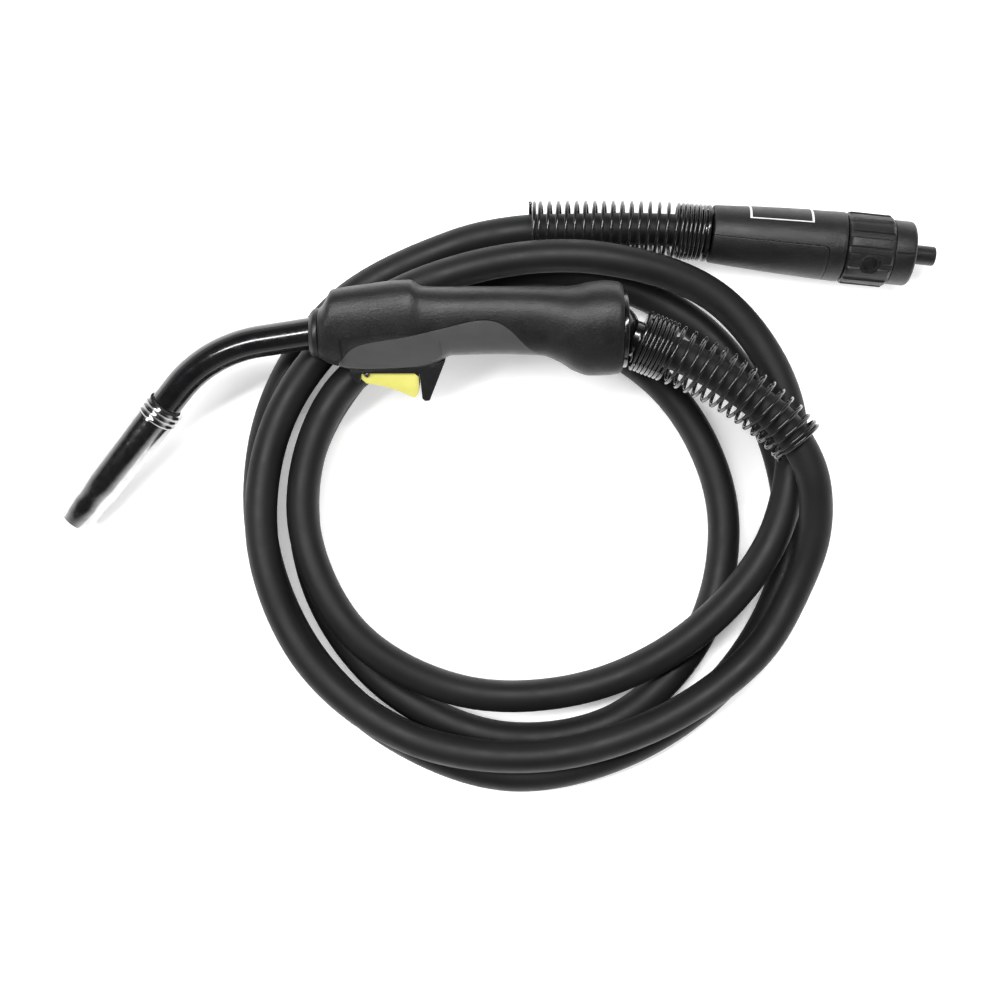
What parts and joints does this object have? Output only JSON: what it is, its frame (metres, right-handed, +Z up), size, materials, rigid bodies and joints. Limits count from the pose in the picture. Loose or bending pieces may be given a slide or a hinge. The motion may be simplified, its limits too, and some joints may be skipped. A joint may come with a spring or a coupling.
{
  "type": "mig welding torch",
  "caption": "Hand-held welding torch with a ball-swivel handle, thumb trigger, bent neck and gas nozzle, on a coiled power cable that ends in a capped central connector.",
  "frame": {"origin": "on the table, under the middle of the handle, neck and nozzle", "axes": "+X from the nozzle towards the handle's rear, +Z up from the table, +Y away from the trigger"},
  "size_m": [0.6155, 0.4173, 0.0969],
  "materials": {
    "cable": "semi-matt black rubber sheath, faintly dusty",
    "black_spring": "black coated spring steel, satin to glossy",
    "gloss_black": "smooth black moulding",
    "shell": "finely textured black moulding",
    "grip": "smooth dark grey soft-touch moulding",
    "yellow": "smooth yellow moulding",
    "screws": "plain steel",
    "brass": "machined brass",
    "copper": "plain copper",
    "seal": "black rubber",
    "insulator": "black insulating moulding",
    "nozzle": "dark nickel-chrome plate, lightly scuffed"
  },
  "bodies": {
    "cable": {"cable": "cable", "handle_spring": "black_spring", "plug_spring": "black_spring", "spring_seat": "gloss_black", "plug_spring_seat": "gloss_black", "plug_housing": "shell", "plug_cover": "shell", "plug_screw_1": "screws", "plug_screw_2": "screws", "cable_crimp": "copper", "connector_body": "brass", "connector_face": "gloss_black", "centre_pin": "brass", "centre_pin_seal": "seal", "liner_nut": "brass"},
    "control_pin_a": {"control_pin_upper": "brass"},
    "control_pin_b": {"control_pin_lower": "brass"},
    "nut": {"hand_nut": "shell"},
    "cap": {"protective_cap": "shell"},
    "swivel": {"swivel_ball": "gloss_black"},
    "handle": {"handle_shell_left": "shell", "handle_shell_right": "shell", "grip_insert_left": "grip", "grip_insert_right": "grip", "handle_screw_1": "screws", "handle_screw_2": "screws", "handle_screw_3": "screws", "handle_screw_4": "screws", "socket_ring": "gloss_black", "front_collar": "shell", "trigger_frame": "shell", "trigger_pin": "screws", "switch_body": "gloss_black", "neck_cover": "gloss_black", "neck_tube": "copper", "wire_liner": "screws", "neck_block": "brass", "core_lead": "seal", "nozzle_insulator": "insulator", "nozzle_spring": "screws", "gas_diffuser": "brass", "contact_tip": "copper"},
    "trigger": {"trigger": "yellow"},
    "plunger": {"switch_plunger": "insulator"},
    "nozzle": {"gas_nozzle": "nozzle"}
  },
  "joints": [
    {"name": "swivel_swing", "type": "hinge", "parent": "cable", "child": "swivel", "pos_m": [0.184, 0.051, 0.0685], "axis": [0, -0.309, 0.9511], "range_deg": [-34, 0]},
    {"name": "handle_pitch", "type": "hinge", "parent": "swivel", "child": "handle", "pos_m": [0.184, 0.051, 0.0685], "axis": [0, 1, 0], "range_deg": [0, 7]},
    {"name": "trigger_pull", "type": "hinge", "parent": "handle", "child": "trigger", "pos_m": [0.01811, 0.02388, 0.05569], "axis": [-0.0081, -0.3864, 0.9223], "range_deg": [0, 6.5], "stiffness_Nm_per_rad": 0.5, "springref_deg": -2.86},
    {"name": "plunger_push", "type": "slide", "parent": "handle", "child": "plunger", "axis": [-0.0034, 0.9223, 0.3864], "range_m": [0, 0.0024]},
    {"name": "nozzle_pull_off", "type": "slide", "parent": "handle", "child": "nozzle", "axis": [-0.6402, -0.7066, -0.3016], "range_m": [0, 0.045]},
    {"name": "nut_turn", "type": "hinge", "parent": "cable", "child": "nut", "pos_m": [0.36197, 0.11308, 0.0251], "axis": [0.9949, -0.1011, 0], "continuous": true},
    {"name": "cap_pull_off", "type": "slide", "parent": "cable", "child": "cap", "axis": [0.9949, -0.1011, 0], "range_m": [0, 0.05]},
    {"name": "pin_a_press", "type": "slide", "parent": "cable", "child": "control_pin_a", "axis": [-0.9949, 0.1011, 0], "range_m": [0, 0.0018], "stiffness_N_per_m": 600, "springref_m": -0.001},
    {"name": "pin_b_press", "type": "slide", "parent": "cable", "child": "control_pin_b", "axis": [-0.9949, 0.1011, 0], "range_m": [0, 0.0018], "stiffness_N_per_m": 600, "springref_m": -0.001}
  ],
  "couplings": [
    {"joint": "plunger_push", "follows": "trigger_pull", "m_per_rad": 0.019}
  ]
}
